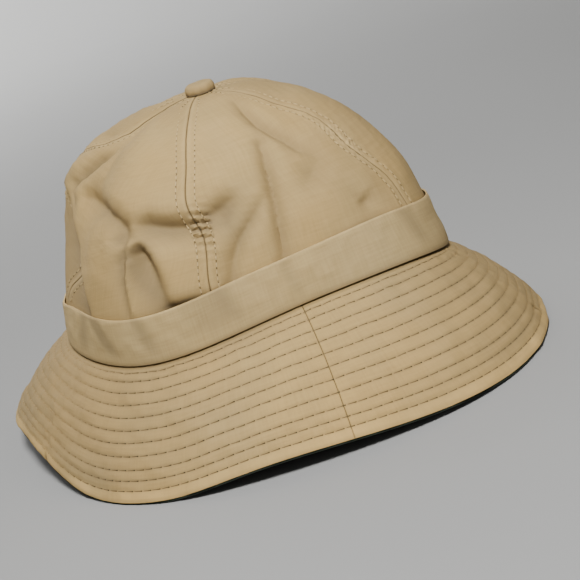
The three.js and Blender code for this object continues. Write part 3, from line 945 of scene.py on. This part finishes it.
def brimPiece(name, start, end):
    count = int(round((end - start) / brim["step"]))
    turns = np.concatenate([seamColumns, np.linspace(0, 1, count + 1)[2:-2], 1 - seamColumns[::-1]])
    for spot in brimSpots:
        close = (np.mod(spot["angle"] - start, 360) + np.linspace(-2.4, 2.4, 29)) / (end - start)
        if 0.05 < close.mean() < 0.95:
            turns = np.concatenate([turns[(turns < close[0]) | (turns > close[-1])], close])
    turns = np.sort(turns)
    turn, out = np.meshgrid(turns, outs[::-1], indexing="ij")
    lean = brim["seamLean"] * (0.5 - out)
    angle = start + (end - start) * turn + lean
    base = brimBase(angle, out)
    radius = np.hypot(base[..., 0], base[..., 1])
    inset = np.degrees(0.08 / radius)
    angle = np.clip(angle, start + lean + inset, end + lean - inset)
    base = brimBase(angle, out)
    normal = brimNormal(angle, out)
    fromSeam = np.radians(np.minimum(angle - start - lean, end + lean - angle)) * radius
    height = brimHeight(angle, out, fromSeam, base)
    rounding = 0.5 * smoothstep(out, 0.985, 1.0)
    outer = base + normal * (height - rounding)[..., None]
    inner = base - normal * (hat["plyWall"] - 0.25 * smoothstep(out, 0.985, 1.0))[..., None]
    width = around("brimReach", angle) * brim["slant"]
    away = rowGap(out) * width
    # painted shade on the brim's sides, and the band's painted shadow beside it
    shade = shaded(angle, brim["shade"], brim["shadeWidth"]) * (1 - 0.7 * smoothstep(out, 0.88, 0.95))
    shadow = brim["bandShadow"]
    beside = bump(turnFrom(angle, shadow["angle"]), shadow["width"]) * (1 - smoothstep(out, 0.06, 0.22))
    shade += shadow["amount"] * beside
    marks = {
        # painted shade along the stitch rows, lessened where the rows are painted pale, and beside the seams
        "fold": 0.5 * bump(away, 0.7) * (1 - 0.8 * paintedPaleRows(angle)) + 0.3 * bump(fromSeam, 0.4) + shade,
        "edge": smoothstep(out, 0.9, 0.97),
        # soil: dark seam lines, painted shade in the nick and the pinch, and painted shadow under the band's
        # foot
        "soil": 0.4 * bump(fromSeam, 0.2) + brimSpotShade(angle, out) + 0.4 * (1 - smoothstep(out, 0.05, 0.07)),
    }
    uv = np.stack([np.radians(angle) * brim["clothRadius"], out * brim["clothReach"]], axis=-1)
    piece = clothWall(name, outer, inner, False, uv, marks, brimCloth)
    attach(piece, "root")
    return piece


brimStart, brimEnd = hat["brimSeams"]
brimFront = brimPiece("brimFront", brimStart, brimEnd)
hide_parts("brim_front")
brimBack = brimPiece("brimBack", brimEnd, brimStart + 360)
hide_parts("brim_back")

rows = []
for out in brim["rows"]:
    angle = np.linspace(brimStart, brimStart + 360, 1400)
    outLine = np.full_like(angle, out)
    base = brimBase(angle, outLine)
    normal = brimNormal(angle, outLine)
    radius = np.hypot(base[:, 0], base[:, 1])
    lean = brim["seamLean"] * (0.5 - out)
    toSeam = np.minimum(np.abs(angle - brimStart - lean), np.abs(angle - brimEnd - lean))
    toSeam = np.minimum(toSeam, brimStart + 360 - angle)
    height = brimHeight(angle, outLine, np.radians(toSeam) * radius, base)
    rows.append(stitchRow(base + normal * height[:, None], normal, **brimStitch))
brimStitches = stitchPiece("brimStitches", rows, brimHoleShadows, paintedPaleRows, brimThread)
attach(brimStitches, "root")
print("brim made, stitches:", sum(len(row[0]) for row in rows))

# under ply of the brim

angle, out = np.meshgrid(np.linspace(0, 360, 480, endpoint=False), outs[::-1], indexing="ij")
base = brimBase(angle, out)
normal = brimNormal(angle, out)
away = rowGap(out) * around("brimReach", angle) * brim["slant"]
upper = base - normal * (hat["plyWall"] + hat["clearance"])
lower = upper - normal * (hat["plyWall"] - 0.3 * bump(away, 0.6) + 0.1 * ripple(base, 9, 41))[..., None]
ground = rimGround(angle[:, 0])
slope = brimBase(angle[:, 0], np.ones(len(angle))) - brimBase(angle[:, 0], np.full(len(angle), 0.96))
for grid in (upper, lower):
    grid[:, 0] += slope * ((ground - grid[:, 0, 2]) / slope[:, 2])[:, None]
    grid[..., 2] = np.maximum(grid[..., 2], 0)
marks = {
    # painted shade along the stitch rows
    "fold": 0.4 * bump(away, 0.8),
    "edge": bump(out - 1.0, 0.02),
    "soil": np.zeros_like(out),
}
uv = np.stack([np.radians(angle) * brim["clothRadius"], out * brim["clothReach"]], axis=-1)
brimUnderside = clothWall("brimUnderside", upper, lower, True, uv, marks, underCloth)
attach(brimUnderside, "root")
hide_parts("brim_underside")
print("under ply made")

# floor and light

floorLook = {  # sizes in metres
    "colour": linear(150, 150, 149),
    "facing": -75,  # degrees, the side that the camera is on
    "reach": 3.0,
    "behind": 1.6,
    "height": 2.4,
    "curve": 0.8,
    "curveSteps": 12,
    "below": 0.00005,
}


def makeFloor():
    facing = math.radians(floorLook["facing"])
    back = Vector((math.sin(facing), -math.cos(facing), 0))
    side = Vector((-back.y, back.x, 0))
    profile = [(floorLook["reach"], 0.0)]
    for step in range(floorLook["curveSteps"] + 1):
        turn = math.radians(90 * step / floorLook["curveSteps"])
        along = -floorLook["behind"] - floorLook["curve"] * math.sin(turn)
        profile.append((along, floorLook["curve"] * (1 - math.cos(turn))))
    profile.append((-floorLook["behind"] - floorLook["curve"], floorLook["height"]))
    points = []
    for along, up in profile:
        for way in (-floorLook["reach"], floorLook["reach"]):
            points.append(back * along + side * way + Vector((0, 0, up - floorLook["below"])))
    faces = [(2 * k, 2 * k + 1, 2 * k + 3, 2 * k + 2) for k in range(len(profile) - 1)]
    mesh = bpy.data.meshes.new("floor")
    mesh.from_pydata(points, [], faces)
    mesh.shade_smooth()
    material, tree, shader = startMaterial("floorPaper", 0.9, 0.0)
    sock = Sock(tree, None)
    place = sock.node("ShaderNodeTexCoord", out="Object")
    grain = sock.node("ShaderNodeTexNoise", {}, {"Vector": place, "Scale": 3.0, "Detail": 2.0})
    paler = tuple(min(1, value * 1.06) for value in floorLook["colour"][:3]) + (1.0,)
    colour = sock.node("ShaderNodeMix", {"data_type": "RGBA"}, {
        0: grain, 6: floorLook["colour"], 7: paler}, out=2)
    tree.links.new(colour.socket, shader.inputs["Base Color"])
    mesh.materials.append(material)
    floor = bpy.data.objects.new("floor", mesh)
    bpy.context.collection.objects.link(floor)


makeFloor()

lights = (  # name, place, aim, size, watts
    ("keyLight", (-0.55, -0.15, 0.82), (-0.02, 0, 0.08), 0.2, 13.9),
    ("frontFill", (-0.9, -1.4, 0.8), (0, 0, 0.08), 1.2, 1),
    ("backFill", (0.9, 1.1, 1.0), (0, 0, 0.08), 1.2, 1.5),
    ("wallLight", (1.0, 1.5, 1.9), (2.2, 1.9, 0.8), 1.2, 165),
)
for name, place, aim, size, watts in lights:
    data = bpy.data.lights.new(name, "AREA")
    data.size = size
    data.energy = watts
    lamp = bpy.data.objects.new(name, data)
    lamp.location = place
    lamp.rotation_euler = (Vector(aim) - Vector(place)).to_track_quat("-Z", "Y").to_euler()
    bpy.context.collection.objects.link(lamp)

world = bpy.data.worlds.new("studio")
world.use_nodes = True
world.node_tree.nodes["Background"].inputs["Color"].default_value = (1.0, 0.99, 0.97, 1.0)
world.node_tree.nodes["Background"].inputs["Strength"].default_value = 0.17
bpy.context.scene.world = world
